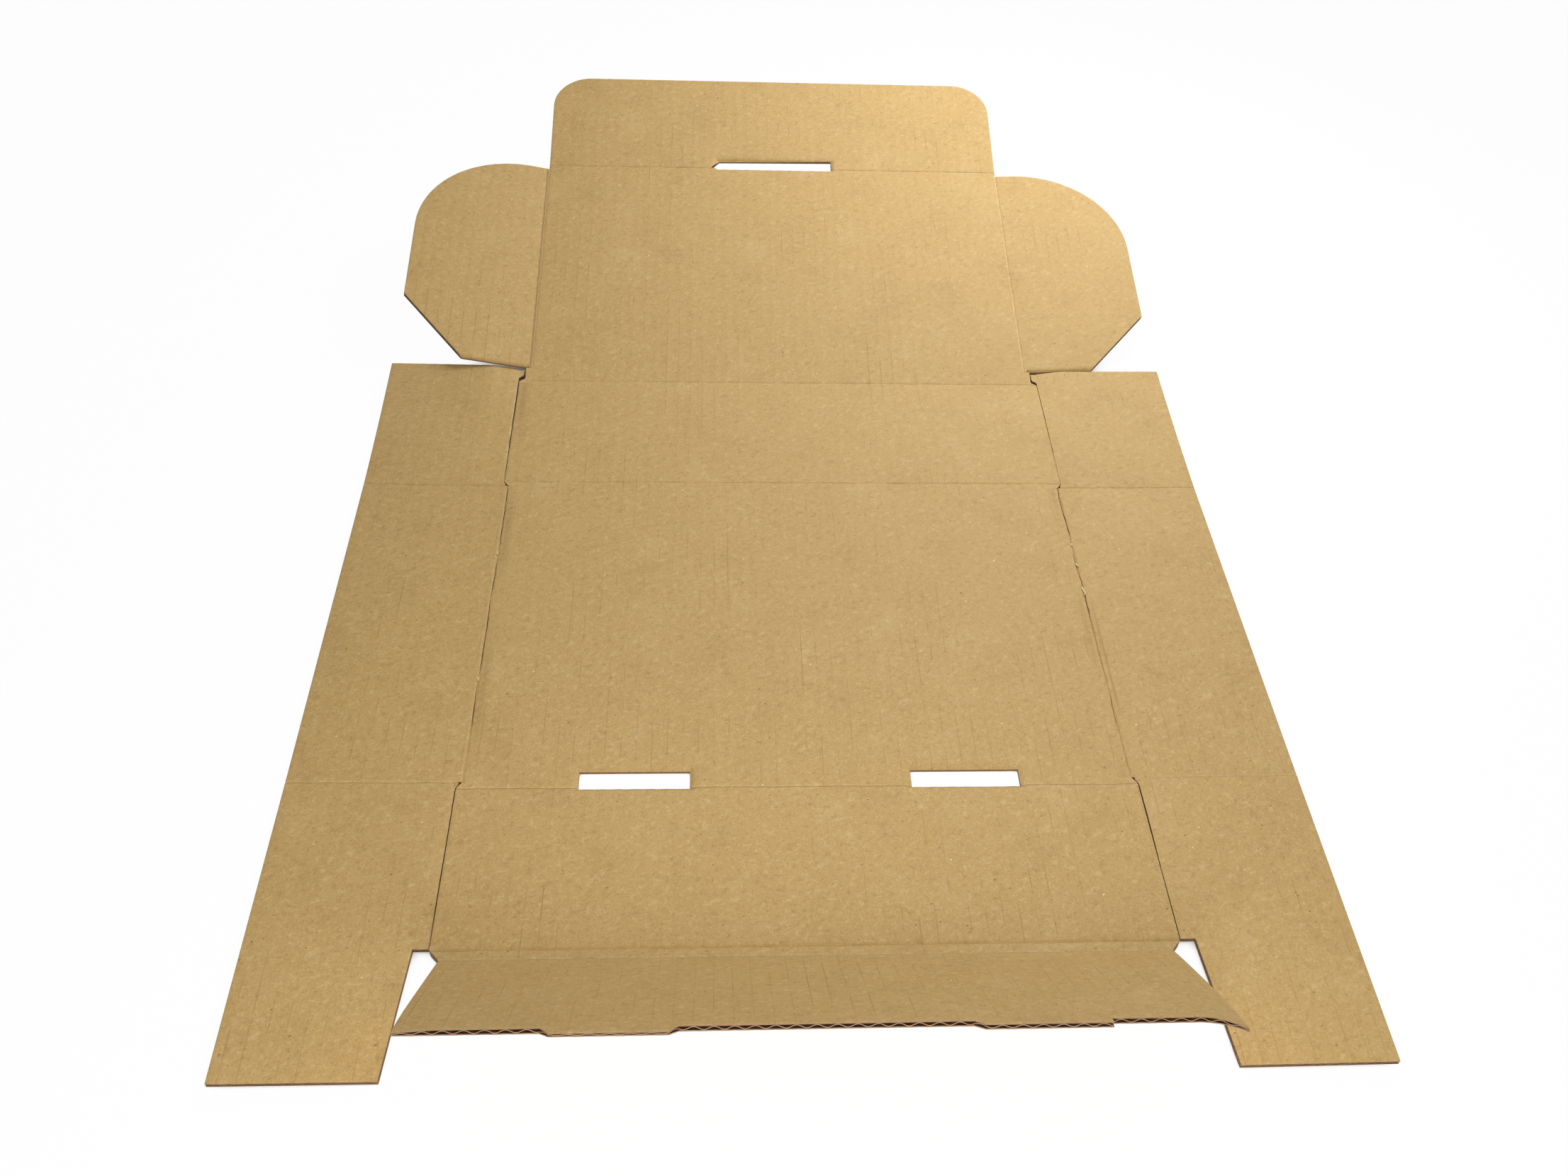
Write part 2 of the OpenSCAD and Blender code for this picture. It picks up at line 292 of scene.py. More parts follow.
# Board stock. The web of single-wall board that the blank is cut from: an inside facing, the
# wavy fluting and an outside facing. The flutes run from front to back through every panel.
BOARD = 2.6 * MM
FACING = 0.35 * MM
FLUTING = 0.3 * MM
WASHBOARD = 0.05 * MM
EDGE_DROOP = 0.16 * MM
DROOP_REACH = 0.45 * MM
STEPS_PER_FLUTE = 12
AT_CUT = np.array([0, 0.25, 0.7, 1.5, 3.0]) * MM
AT_CREASE = np.array([0, 3.0]) * MM
INSIDE, FLUTING_AND_SHADE, CUT = 0, 1, 2
FIBRE_HALF = 0.42
FIBRE_T = 0.12 * MM
FIBRE_WEAR = 4
joint_to = {joint["child"]: joint for joint in frame["joints"]}


def flute_wave(x):
    return np.cos(2 * np.pi * x / FLUTE_PITCH)


def wander(along, seed):
    """A slow drift between about -1 and 1, as die and hand leave it along an edge."""
    rng = np.random.default_rng(seed)
    lengths = rng.uniform(3, 45, 8) * MM
    starts = rng.uniform(0, 2 * np.pi, 8)
    return sum(np.sin(2 * np.pi * along / n + s) for n, s in zip(lengths, starts)) / 3


def columns(x_from, x_to, more=()):
    """Places along the width: even steps in each flute, closer at both ends."""
    step = FLUTE_PITCH / STEPS_PER_FLUTE
    even = np.arange(math.ceil(x_from / step), math.floor(x_to / step) + 1) * step
    fixed = np.concatenate([x_from + AT_CUT[:3], x_to - AT_CUT[:3], np.array(more)])
    even = even[np.abs(even[:, None] - fixed).min(1) > 0.3 * step]
    places = np.concatenate([even, fixed])
    return np.unique(places[(places >= x_from) & (places <= x_to)].round(7))


def in_holes(x, y, holes):
    """Which cells of the grid x, y lie in one of the cut-outs."""
    mid_x = (x[:-1, :-1] + x[1:, 1:]) / 2
    mid_y = (y[:-1, :-1] + y[1:, 1:]) / 2
    cut = np.zeros(mid_x.shape, bool)
    for x0, x1, y0, y1 in holes:
        cut |= (x0 < mid_x) & (mid_x < x1) & (y0 < mid_y) & (mid_y < y1)
    return cut


def paper(x, y, upper, lower, sides, cut_out=None):
    """One sheet in the flat blank over the places x, y, between two heights."""
    bpy.ops.object.select_all(action="DESELECT")
    bpy.ops.mesh.primitive_grid_add(
        x_subdivisions=x.shape[1] - 1, y_subdivisions=x.shape[0] - 1, calc_uvs=False
    )
    sheet = bpy.context.object
    sheet.data.vertices.foreach_set("co", np.stack([x, y, 0 * x], -1).ravel())
    for material in (kraft_facing, fluting_paper_and_painted_shade, cut_edge):
        sheet.data.materials.append(material)
    upper_side, lower_side, rim = sides
    for face in sheet.data.polygons:
        face.material_index = upper_side
    if cut_out is not None and cut_out.any():
        bpy.context.tool_settings.mesh_select_mode = (False, False, True)
        bpy.ops.object.mode_set(mode="EDIT")
        bpy.ops.mesh.select_all(action="DESELECT")
        bpy.ops.object.mode_set(mode="OBJECT")
        sheet.data.polygons.foreach_set("select", cut_out.ravel())
        bpy.ops.object.mode_set(mode="EDIT")
        bpy.ops.mesh.delete(type="FACE")
        bpy.ops.object.mode_set(mode="OBJECT")
    solid = sheet.modifiers.new("thickness", "SOLIDIFY")
    solid.thickness = FACING
    solid.material_offset = lower_side - upper_side
    solid.material_offset_rim = rim - upper_side
    bpy.ops.object.modifier_apply(modifier=solid.name)

    def set_heights(places):
        flat_x, flat_y = places[:, 0], places[:, 1]
        above = places[:, 2] > -FACING / 2
        heights = np.where(above, upper(flat_x, flat_y), lower(flat_x, flat_y))
        return np.stack([flat_x, flat_y, heights], -1)

    move_mesh(sheet, set_heights)
    return sheet


def move_mesh(piece, way):
    places = np.empty(len(piece.data.vertices) * 3, np.float32)
    piece.data.vertices.foreach_get("co", places)
    places = way(places.reshape(-1, 3).astype(float))
    piece.data.vertices.foreach_set("co", places.ravel())
    piece.data.update()


def show_wear_and_shade(sheet, wear_and_shade):
    """Marks where the inside facing cracked pale, above 0, and where shade is painted dark, below 0.
    """
    flat = np.empty(len(sheet.data.vertices) * 3, np.float32)
    sheet.data.vertices.foreach_get("co", flat)
    x, y, z = flat.reshape(-1, 3).T.astype(float)
    shown = np.where(z > BOARD / 2, wear_and_shade(x, y), 0)
    sheet.data.attributes.new("fibre_marks_and_painted_shade", "FLOAT", "POINT").data.foreach_set("value", shown)


def torn_fibres(spots):
    """Slivers of the facing that a knife tore loose: place, way, length and lift of each, in mm."""
    slivers = []
    for x, y, turn, length, lift in spots:
        bpy.ops.object.select_all(action="DESELECT")
        bpy.ops.mesh.primitive_grid_add(x_subdivisions=6, y_subdivisions=2, calc_uvs=False)
        sliver = bpy.context.object
        for material in (kraft_facing, fluting_paper_and_painted_shade, cut_edge):
            sliver.data.materials.append(material)

        def curl(places):
            along = (places[:, 0] + 1) / 2
            half = FIBRE_HALF * np.sqrt(np.clip(1.02 - along**2, 0, 1)) + 0.05 * np.sin(19 * along)
            far, wide = length * along, half * places[:, 1]
            flat_x = x + far * math.cos(turn) - wide * math.sin(turn)
            flat_y = y + far * math.sin(turn) + wide * math.cos(turn)
            height = lift * along**2 - 0.12 + 0.15 * np.abs(places[:, 1])
            return np.stack([flat_x * MM, flat_y * MM, BOARD + height * MM], -1)

        move_mesh(sliver, curl)
        show_wear_and_shade(sliver, lambda flat_x, flat_y: 0 * flat_x + FIBRE_WEAR)
        solid = sliver.modifiers.new("thickness", "SOLIDIFY")
        solid.thickness = FIBRE_T
        bpy.ops.object.modifier_apply(modifier=solid.name)
        slivers.append(sliver)
    return slivers


def joined(name, sheets):
    bpy.ops.object.select_all(action="DESELECT")
    for sheet in sheets:
        sheet.select_set(True)
    bpy.context.view_layer.objects.active = sheets[0]
    if len(sheets) > 1:
        bpy.ops.object.join()
    piece = bpy.context.object
    piece.name = name
    piece.data.name = name
    bpy.ops.object.shade_smooth_by_angle(angle=math.radians(38))
    return piece


def creases_to(body):
    chain = []
    while body in joint_to:
        chain.insert(0, joint_to[body])
        body = joint_to[body]["parent"]
    return chain


def lie(places, body):
    """Turns places of the flat blank about each crease in turn, to where the panel lies."""
    for joint in creases_to(body):
        places = turned(places, joint, math.radians(-joint["range_deg"][0]))
    return places


def turned(places, joint, angle):
    axis = np.array(joint["axis"])
    from_axis = places - np.array(joint["pos_m"])
    angle = np.broadcast_to(angle, len(places))[:, None]
    along = (from_axis @ axis)[:, None] * axis
    turn = from_axis * np.cos(angle) + np.cross(axis, from_axis) * np.sin(angle)
    return turn + along * (1 - np.cos(angle)) + np.array(joint["pos_m"])


def nothing(x, y):
    return 0 * x


def as_cut(x, y):
    return x, y


def board(name, node, body, places, near, far, cuts, side=1, holes=(), near_rows=None,
          far_rows=None, middle_rows=4, press=nothing, bend=nothing, warp=as_cut, wear_and_shade=nothing,
          torn=()):
    """A panel of board: columns at places, each running from near to far in the flat blank.

    cuts names the sides that the die cut; the others run into a crease. press is how far the
    inside facing is pushed in, bend how far the whole board is bent up, and warp moves places
    in the flat blank where an edge isn't straight."""
    out = places if side > 0 else places[::-1]
    y_near = np.broadcast_to(near(out) if callable(near) else near, out.shape)
    y_far = np.broadcast_to(far(out) if callable(far) else far, out.shape)
    first = near_rows if near_rows is not None else (AT_CUT if "near" in cuts else AT_CREASE)
    last = far_rows if far_rows is not None else (AT_CUT if "far" in cuts else AT_CREASE)
    share = np.linspace(0, 1, middle_rows + 2)[1:-1, None]
    start = y_near + first[:, None]
    stop = y_far - last[::-1, None]
    middle = start[-1] + share * (stop[0] - start[-1])
    y = np.concatenate([start, middle, stop])
    x = np.broadcast_to(side * out, y.shape)
    cut_out = in_holes(x, y, holes)
    x, y = warp(x, y)

    def droop(flat_x, flat_y):
        out_x = side * flat_x
        reach = {
            "inner": out_x - places[0],
            "outer": places[-1] - out_x,
            "near": flat_y - np.interp(out_x, places, y_near[::side]),
            "far": np.interp(out_x, places, y_far[::side]) - flat_y,
        }
        return EDGE_DROOP * sum(np.exp(-np.maximum(reach[c], 0) / DROOP_REACH) for c in cuts)

    def top(flat_x, flat_y):
        sag = WASHBOARD * (1 + flute_wave(flat_x)) / 2
        height = BOARD - sag - droop(flat_x, flat_y) - press(flat_x, flat_y)
        return height + bend(flat_x, flat_y)

    def bottom(flat_x, flat_y):
        sag = WASHBOARD * (1 - flute_wave(flat_x)) / 2
        return sag + 0.7 * droop(flat_x, flat_y) + bend(flat_x, flat_y)

    def middle_of(flat_x, flat_y):
        roof = top(flat_x, flat_y) - FACING
        ground = bottom(flat_x, flat_y) + FACING
        swing = (roof - ground - FLUTING) / 2
        return (roof + ground) / 2 - swing * flute_wave(flat_x)

    # The facings' faces towards the flutes take the darker fluting paper, as painted shade in the
    # channels.
    inside = paper(x, y, top, lambda a, b: top(a, b) - FACING, (INSIDE, FLUTING_AND_SHADE, CUT), cut_out)
    outside = paper(
        x, y, lambda a, b: bottom(a, b) + FACING, bottom, (FLUTING_AND_SHADE, INSIDE, CUT), cut_out
    )
    show_wear_and_shade(inside, wear_and_shade)
    # A plain panel's fluting is straight between its ends and needs no rows there
    plain = not cut_out.any() and warp is as_cut and press is nothing and bend is nothing
    rows = [0, len(first) - 1, -len(last), -1] if plain else slice(None)
    fluting = paper(
        x[rows], y[rows],
        lambda a, b: middle_of(a, b) + FLUTING / 2,
        lambda a, b: middle_of(a, b) - FLUTING / 2,
        (FLUTING_AND_SHADE, FLUTING_AND_SHADE, CUT), None if plain else cut_out,
    )
    piece = joined(name, [inside, outside, fluting, *torn_fibres(torn)])
    move_mesh(piece, lambda p: lie(p, body))
    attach(piece, body)
    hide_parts(node)
    return piece


# Creases. A blunt rule presses each fold line into the inside facing and crushes the flutes shut,
# so the board bends there and its outside facing wraps round the fold as one unbroken sheet.
HALF_CREASE = 1.5 * MM
CREASE_DEPTH = 0.28 * MM
GROOVE_HALF = 0.8 * MM
ACROSS_MM = (0.1, 0.2, 0.3, 0.42, 0.56, 0.72, 0.95, 1.2, 1.5)
ACROSS = np.array([-a for a in reversed(ACROSS_MM)] + [0] + list(ACROSS_MM)) * MM
PALE_AT, PALE_HALF = -0.32 * MM, 0.2 * MM
DARK_AT, DARK_HALF = 0.12 * MM, 0.24 * MM


def crease(name, child, x, y, across, seed, depth=CREASE_DEPTH, marks=(0.6, 0.4),
           groove=(DARK_AT, DARK_HALF), holes=(), dip=nothing, warp=as_cut, torn=()):
    """A strip of crushed board over a fold line; across(x, y) is the distance past the line.

    marks is how strongly cracked fibres show pale on it and how strongly shade is painted dark in
    the groove."""
    joint = joint_to[child]
    parent = joint["parent"]

    def line_off(flat_x, flat_y):
        return across(flat_x, flat_y) + 0.1 * MM * wander(flat_x + 1.7 * flat_y, seed)

    def top(flat_x, flat_y):
        off = across(flat_x, flat_y)
        past = np.clip(line_off(flat_x, flat_y) / GROOVE_HALF, -1, 1)
        crushed = np.clip(1.4 - np.abs(off) / HALF_CREASE, 0, 1)
        sag = WASHBOARD * (1 + crushed) * (1 + flute_wave(flat_x)) / 2
        deep = depth * (1 + 0.25 * wander(flat_x + 1.7 * flat_y, seed + 50))
        return BOARD - sag - deep * (1 + np.cos(np.pi * past)) / 2 - dip(flat_x, flat_y)

    # Pale where fibres cracked, and dark in the groove as painted shade.
    def wear_and_shade(flat_x, flat_y):
        off = line_off(flat_x, flat_y)
        pale = marks[0] * np.exp(-(((off - PALE_AT) / PALE_HALF) ** 2))
        return pale - marks[1] * np.exp(-(((off - groove[0]) / groove[1]) ** 2))

    def settle(places):
        off = across(places[:, 0], places[:, 1])
        t = np.clip((off + HALF_CREASE) / (2 * HALF_CREASE), 0, 1)
        turn = t * t * (3 - 2 * t) * math.radians(-joint["range_deg"][0])
        return turned(lie(places, parent), joint, turn)

    sheet_x, sheet_y = warp(x, y)
    # The strip's rim, at the slits and at its slanted ends, takes the darker fluting paper as
    # painted shade.
    strip = paper(sheet_x, sheet_y, top, nothing, (INSIDE, INSIDE, FLUTING_AND_SHADE), in_holes(x, y, holes))
    show_wear_and_shade(strip, wear_and_shade)
    piece = joined(name, [strip, *torn_fibres(torn)])
    middle = np.array([(x.min() + x.max()) / 2, (y.min() + y.max()) / 2, BOARD])
    direction = np.array(crease_way(across, middle))
    line = middle - direction * across(middle[:1], middle[1:2])[0]
    ends = np.stack([line - direction * HALF_CREASE, line + direction * HALF_CREASE])
    start, end = settle(ends)
    move_mesh(piece, settle)
    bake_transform(piece)
    return piece


def crease_way(across, middle):
    """The direction in the flat blank in which across grows."""
    here = across(middle[:1], middle[1:2])[0]
    by_x = across(middle[:1] + MM, middle[1:2])[0] - here
    by_y = across(middle[:1], middle[1:2] + MM)[0] - here
    return (by_x / MM, by_y / MM, 0)


def crease_on_x(name, child, line_y, way, half_width, seed, offsets=ACROSS, more=(), **kw):
    """A crease along the width, whose ends follow half_width(distance from the middle of y)."""
    widest = half_width(np.abs(line_y + way * offsets)).max()
    x0 = columns(-widest, widest, more)
    rows = np.sort(line_y + way * offsets)[:, None]
    # Only the last 15 mm at each end follow a slanted end, so cut-outs stay square
    straight = widest - 15 * MM
    stretch = (half_width(np.abs(rows)) - straight) / (widest - straight)
    beyond = np.maximum(np.abs(x0) - straight, 0)
    x = np.sign(x0) * (np.minimum(np.abs(x0), straight) + beyond * stretch)
    y = np.broadcast_to(rows, x.shape)
    return crease(name, child, x, y, lambda a, b: way * (b - line_y), seed, **kw)


def crease_on_y(name, child, line_x, side, y_rows, seed, offsets=ACROSS, **kw):
    """A crease from front to back, on the left or right side of the blank."""
    x0 = np.sort(side * (line_x + offsets))
    x = np.broadcast_to(x0, (len(y_rows), len(x0)))
    y = np.broadcast_to(y_rows[:, None], x.shape)
    return crease(name, child, x, y, lambda a, b: side * a - line_x, seed, **kw)


# Base. The middle of the blank and the floor of the box, with two slots at its front edge for the
# tabs of the lock flap. The punch squeezed the board round the slots, and beside the side creases
# the base dips a little, where the knife cuts weaken it.
HALF_W = 135 * MM
HALF_D = 88.5 * MM
FLAP_Y = 85.5 * MM
WALL_HALF = 137.2 * MM
SLOT_HALF = 22.25 * MM
SLOT_OFFSET = 67 * MM
SLOT_D = 8 * MM
RIM_PRESS = 1.2 * MM
RIM_REACH = 1.1 * MM
AT_RIM = np.array([0, 0.4, 0.9, 1.6, 2.8, 5.0]) * MM
BASE_DIP = 0.4 * MM
DIP_REACH = 2.6 * MM
DIP_WAVE = 15 * MM
# From and to along Y of the knife cuts, on the left, -1, and on the right, 1
SLITS = {
    -1: np.array([[44.5, 95], [-31.5, 37], [-60, -34.5]]) * MM,
    1: np.array([[48, 95], [-1, 45], [-62, -41]]) * MM,
}
slot_sides = [s * (SLOT_OFFSET + t * SLOT_HALF) for s in (-1, 1) for t in (-1, 1)]
slots = [
    (s * SLOT_OFFSET - SLOT_HALF, s * SLOT_OFFSET + SLOT_HALF, -HALF_D, SLOT_D - HALF_D)
    for s in (-1, 1)
]


def squeezed_rim(x, y, cut_outs):
    """How far the facing is pressed down beside the punched cut-outs."""
    away = [
        np.hypot(
            np.maximum(np.maximum(x0 - x, x - x1), 0),
            np.maximum(np.maximum(y0 - y, y - y1), 0),
        )
        for x0, x1, y0, y1 in cut_outs
    ]
    return RIM_PRESS * np.exp(-np.min(away, 0) / RIM_REACH)


def slot_rim(x, y):
    return squeezed_rim(x, y, slots)


def base_dip(x, y):
    inward = np.maximum(HALF_W - np.abs(x), 0)
    reach = np.where(np.abs(x) <= HALF_W, np.exp(-inward / DIP_REACH), 0)
    uneven = np.clip(0.7 + 0.4 * np.sin(y / DIP_WAVE + 2 * np.sign(x)), 0.25, 1)
    return BASE_DIP * reach * uneven * np.clip((FLAP_Y - np.abs(y)) / (8 * MM), 0, 1)


def base_painted_shade(x, y):
    """Painted shade: a soft dark band along the side creases, where the base dips."""
    band = np.exp(-(((HALF_W - np.abs(x) - DIP_REACH) / (1.5 * MM)) ** 2))
    return -0.3 * band * np.clip(0.3 + np.sin(y / DIP_WAVE + 2 * np.sign(x)), 0, 1)


board("base_board", "base_panel", "base",
      columns(-HALF_W + HALF_CREASE, HALF_W - HALF_CREASE, slot_sides),
      -FLAP_Y, FLAP_Y, (), holes=slots, middle_rows=12,
      near_rows=np.concatenate([[0], FLAP_Y + SLOT_D - HALF_D + AT_RIM]),
      far_rows=np.array([0, 3, 8]) * MM,
      press=lambda x, y: base_dip(x, y) + slot_rim(x, y), wear_and_shade=base_painted_shade)


# Side walls. Each is hinged on the base along a crease that is cut through in three lengths, so
# that it folds over the thick rolled front; the cut lips have opened, and on the right they tore
# and left a second pressed line beside them.
SIDE_OUT = 204 * MM
SLIT_HALF = 0.13 * MM
LIP_REACH = 0.5 * MM
SLIT_CLOSING = 7 * MM
SECOND_LINE = 137.4 * MM
SECOND_PRESS = 0.3 * MM
SECOND_LINE_SHADE = 0.75
SLIT_SWAY = {-1: 0.14 * MM, 1: 0.35 * MM}
SLIT_TORN = {
    -1: [(-135.3, 41.6, -1.5, 2.6, 0.3), (-135.2, -32.4, -1.4, 2.2, 0.25)],
    1: [(134.6, 34.5, -1.2, 2.8, 0.6), (135.4, 32.6, 2.2, 1.8, 0.5), (134.7, 19.5, -1.4, 5.2, 0.4),
        (135.5, 17, -1.7, 3.0, 0.3), (134.8, 47.5, -1.5, 2.0, 0.3)],
}


def slit_warp(side):
    """Moves the cut lips: they sway along their length, gape in the middle and close at the ends."""
    def warp(x, y):
        off = side * x - HALF_W
        inside = np.max([np.minimum(y - s[0], s[1] - y) for s in SLITS[side]], 0)
        gape = np.clip(inside / SLIT_CLOSING, 0, 1) * (0.9 + 0.3 * wander(y / 2, 27 + side))
        lip = np.sign(off) * SLIT_HALF * (np.maximum(gape, 0.15) - 1)
        beyond = np.maximum(np.abs(off) - SLIT_HALF, 0)
        near_line = np.clip(1 - np.abs(off) / HALF_CREASE, 0, 1)
        sway = SLIT_SWAY[side] * wander(y / 1.5, 17 + side) * near_line
        pulled = lip * np.exp(-beyond / LIP_REACH) * (np.abs(off) < HALF_CREASE)
        return x + side * (sway + pulled), y
    return warp


def second_line(x, y):
    """1 on the second pressed line, 0 away from it."""
    along = np.clip(np.minimum(10 * MM - y, y + 54 * MM) / (9 * MM), 0, 1)
    return along * np.exp(-(((x - SECOND_LINE) / (0.35 * MM)) ** 2))


for side, name in ((-1, "left"), (1, "right")):
    slit_ends = np.minimum(SLITS[side].ravel(), FLAP_Y)
    y_rows = np.unique(np.concatenate([np.arange(-85.5, 85.6, 1) * MM, slit_ends]).round(7))
    offsets = np.unique(np.concatenate([ACROSS, [-SLIT_HALF, SLIT_HALF]]).round(7))
    gap = sorted((side * (HALF_W - SLIT_HALF), side * (HALF_W + SLIT_HALF)))
    crease_on_y(name + "_side_crease", name + "_side", HALF_W, side, y_rows, 11 + side,
                offsets=offsets, holes=[(*gap, *s) for s in SLITS[side]], dip=base_dip,
                warp=slit_warp(side), torn=SLIT_TORN[side], marks=(0.5, 0.5))
    # The second line is pressed in, and its dark line is painted shade.
    board(name + "_side_board", name + "_side_wall", name + "_side",
          columns(HALF_W + HALF_CREASE, SIDE_OUT), -FLAP_Y + HALF_CREASE, FLAP_Y - HALF_CREASE,
          ("outer",), side=side, middle_rows=12,
          press=lambda x, y: SECOND_PRESS * second_line(x, y),
          wear_and_shade=lambda x, y: -SECOND_LINE_SHADE * second_line(x, y))


# Corner flaps. Four flaps on the ends of the side walls, which stand behind the front and back
# wall when the box is closed. The front pair has a step that clears the rolled front edge, and
# the back pair a point that runs along the shoulder of the lid.
FLAP_IN = 138.1 * MM
FLAP_STEP = 7.5 * MM
STEP_Y = 157.5 * MM
FRONT_FLAP_END = FLAP_Y + 120 * MM
BACK_FLAP_END = FLAP_Y + 86.9 * MM
SLIVER = 0.02 * MM
ROOT_IN = 1.4 * MM
# At the root and at the step, by side and by front, -1, or back, 1
FLAP_GAP = {
    (-1, -1): (0.4 * MM, 0.5 * MM), (1, -1): (0.5 * MM, 0.7 * MM),
    (-1, 1): (0.2 * MM, 0.6 * MM), (1, 1): (0.1 * MM, 0.3 * MM),
}
FLAP_TAPER = 2 * MM
CURL_WIDE = 13 * MM
CURL_LONG = 86 * MM
FLAP_CURL = {-1: 2.7 * MM, 1: 1.8 * MM}
POINT_FROM = {-1: 165.8 * MM, 1: 165.4 * MM}
POINT_L = {-1: 3 * MM, 1: 2.4 * MM}
TIP_SAG = 0.3 * MM
TIP_WIDE = 7 * MM
TIP_FROM = 135 * MM
TIP_L = 33 * MM
POINT_IN = 3 * MM
AT_ROOT = np.array([0, 0.7, 1.4, 2.2, 3.5]) * MM
AT_POINT = np.concatenate([AT_CUT, np.array([4.3, 5.4, 6.6, 7.7, 8.8, 10]) * MM])


def front_flap_end(out):
    return -np.where(out < FLAP_IN + FLAP_STEP + SLIVER / 2, STEP_Y, FRONT_FLAP_END)


def flap_warp(side, way):
    """The inner edge closes up to the jog of the base's corner and, at the back, to the lid."""
    def warp(x, y):
        out, along = side * x, way * y
        root = ROOT_IN * np.clip(1 - (along - FLAP_Y - HALF_CREASE) / (2.2 * MM), 0, 1)
        gap = np.interp(along, [FLAP_Y, STEP_Y], FLAP_GAP[side, way])
        ragged = 0.07 * MM * wander(along / 2, 41 + side + 4 * way)
        inwards = np.maximum(FLAP_IN - WALL_HALF - gap + ragged, root)
        if way > 0:
            point = np.clip((along - POINT_FROM[side]) / POINT_L[side], 0, 1)
            inwards = np.minimum(inwards + POINT_IN * point, FLAP_IN - HALF_W - 0.2 * MM)
        inwards = inwards * np.exp(-(out - FLAP_IN) / (3 * MM))
        if way < 0:
            stepped = np.clip((along - STEP_Y + 3 * MM) / (3 * MM), 0, 1)
            slant = FLAP_TAPER * (1 - (along - STEP_Y) / (24 * MM)) * stepped
            from_out = (SIDE_OUT - out) / (SIDE_OUT - FLAP_IN - FLAP_STEP)
            fade = np.clip(np.minimum(from_out, (out - FLAP_IN) / FLAP_STEP), 0, 1)
            inwards = inwards + slant * fade
        return x - side * inwards, y
    return warp


def flap_curl(x, y):
    """The free end of a back flap has lifted up to the ear; its inner tip sags a little."""
    most = np.where(x < 0, FLAP_CURL[-1], FLAP_CURL[1])
    outwards = np.clip((np.abs(x) - FLAP_IN) / CURL_WIDE, 0, 1)
    curl = most * outwards * np.clip((y - FLAP_Y - HALF_CREASE) / CURL_LONG, 0, 1) ** 2
    inner = np.exp(-np.maximum(np.abs(x) - HALF_W, 0) / TIP_WIDE)
    return curl - TIP_SAG * inner * np.clip((y - TIP_FROM) / TIP_L, 0, 1)


def flap_lip(x, y):
    """The left back flap's inner edge is frayed pale."""
    lip = np.exp(-(((-x - WALL_HALF - 0.75 * MM) / (0.3 * MM)) ** 2))
    return 1.2 * lip * np.clip(0.5 + wander(y / 2, 47), 0, 1)


for side, name in ((-1, "left"), (1, "right")):
    flap_columns = columns(FLAP_IN, SIDE_OUT)
    step_columns = columns(
        FLAP_IN, SIDE_OUT, (FLAP_IN + FLAP_STEP, FLAP_IN + FLAP_STEP + SLIVER)
    )
    for way, end in ((-1, "front"), (1, "back")):
        part = name + "_" + end + "_corner"
        x0 = columns(HALF_W + HALF_CREASE, SIDE_OUT, (FLAP_IN,))
        x = np.broadcast_to(np.sort(side * x0), (len(ACROSS), len(x0)))
        y = np.broadcast_to(np.sort(way * (FLAP_Y + ACROSS))[:, None], x.shape)
        crease(part + "_crease", part, x, y, lambda a, b, w=way: w * b - FLAP_Y,
               31 + side + 4 * way)
        root = FLAP_Y + HALF_CREASE
        if end == "front":
            board(part + "_board", part + "_flap", part, step_columns, front_flap_end, -root,
                  ("inner", "outer", "near"), side=side, far_rows=AT_ROOT,
                  warp=flap_warp(side, way))
        else:
            board(part + "_board", part + "_flap", part, flap_columns, root, BACK_FLAP_END,
                  ("inner", "outer", "far"), side=side, near_rows=AT_ROOT, far_rows=AT_POINT,
                  warp=flap_warp(side, way), bend=flap_curl, wear_and_shade=flap_lip, middle_rows=24)


# Front wall, its roll-over strip and the lock flap. The wall folds up, the strip over its top and
# the lock flap down inside, where its two slanted tabs drop into the slots of the base.
STRIP_Y = 158.5 * MM
LOCK_Y = 163.5 * MM
LOCK_HALF = 133 * MM
LOCK_END = 232.1 * MM
TAB_L = 3 * MM
CURL_FROM = 116 * MM
CORNER_CURL = 3.4 * MM
TAB_X = np.array([-88.25, -85.25, -48.75, -45.75, 45.75, 48.75, 88.9, 89.1]) * MM


def front_half_width(y):
    flare = np.interp(y, [FLAP_Y, HALF_D], [HALF_W, WALL_HALF])
    return np.where(y < HALF_D, flare, np.interp(y, [STRIP_Y, LOCK_Y], [WALL_HALF, LOCK_HALF]))


def lock_flap_end(x):
    return -LOCK_END - TAB_L * np.interp(x, TAB_X, [0, 1, 1, 0, 0, 1, 1, 0])


def lock_flap_press(x, y):
    """The cut end of the flap is crushed at both corners and along its left tab."""
    at_end = np.exp(-np.maximum(y + LOCK_END + TAB_L, 0) / (9 * MM))
    corners = np.clip((np.abs(x) - 121 * MM) / (11 * MM), 0, 1)
    return MM * at_end * (0.5 + 0.9 * corners + 0.5 * np.interp(x, TAB_X[:4], [0, 1, 1, 0]))


def lock_flap_bend(x, y):
    """The right corner curls down."""
    rightwards = np.clip((x - CURL_FROM) / (LOCK_HALF - CURL_FROM), 0, 1) ** 2
    outwards = np.clip((-y - LOCK_Y) / (68 * MM), 0, 1) ** 1.5
    return -CORNER_CURL * rightwards * outwards


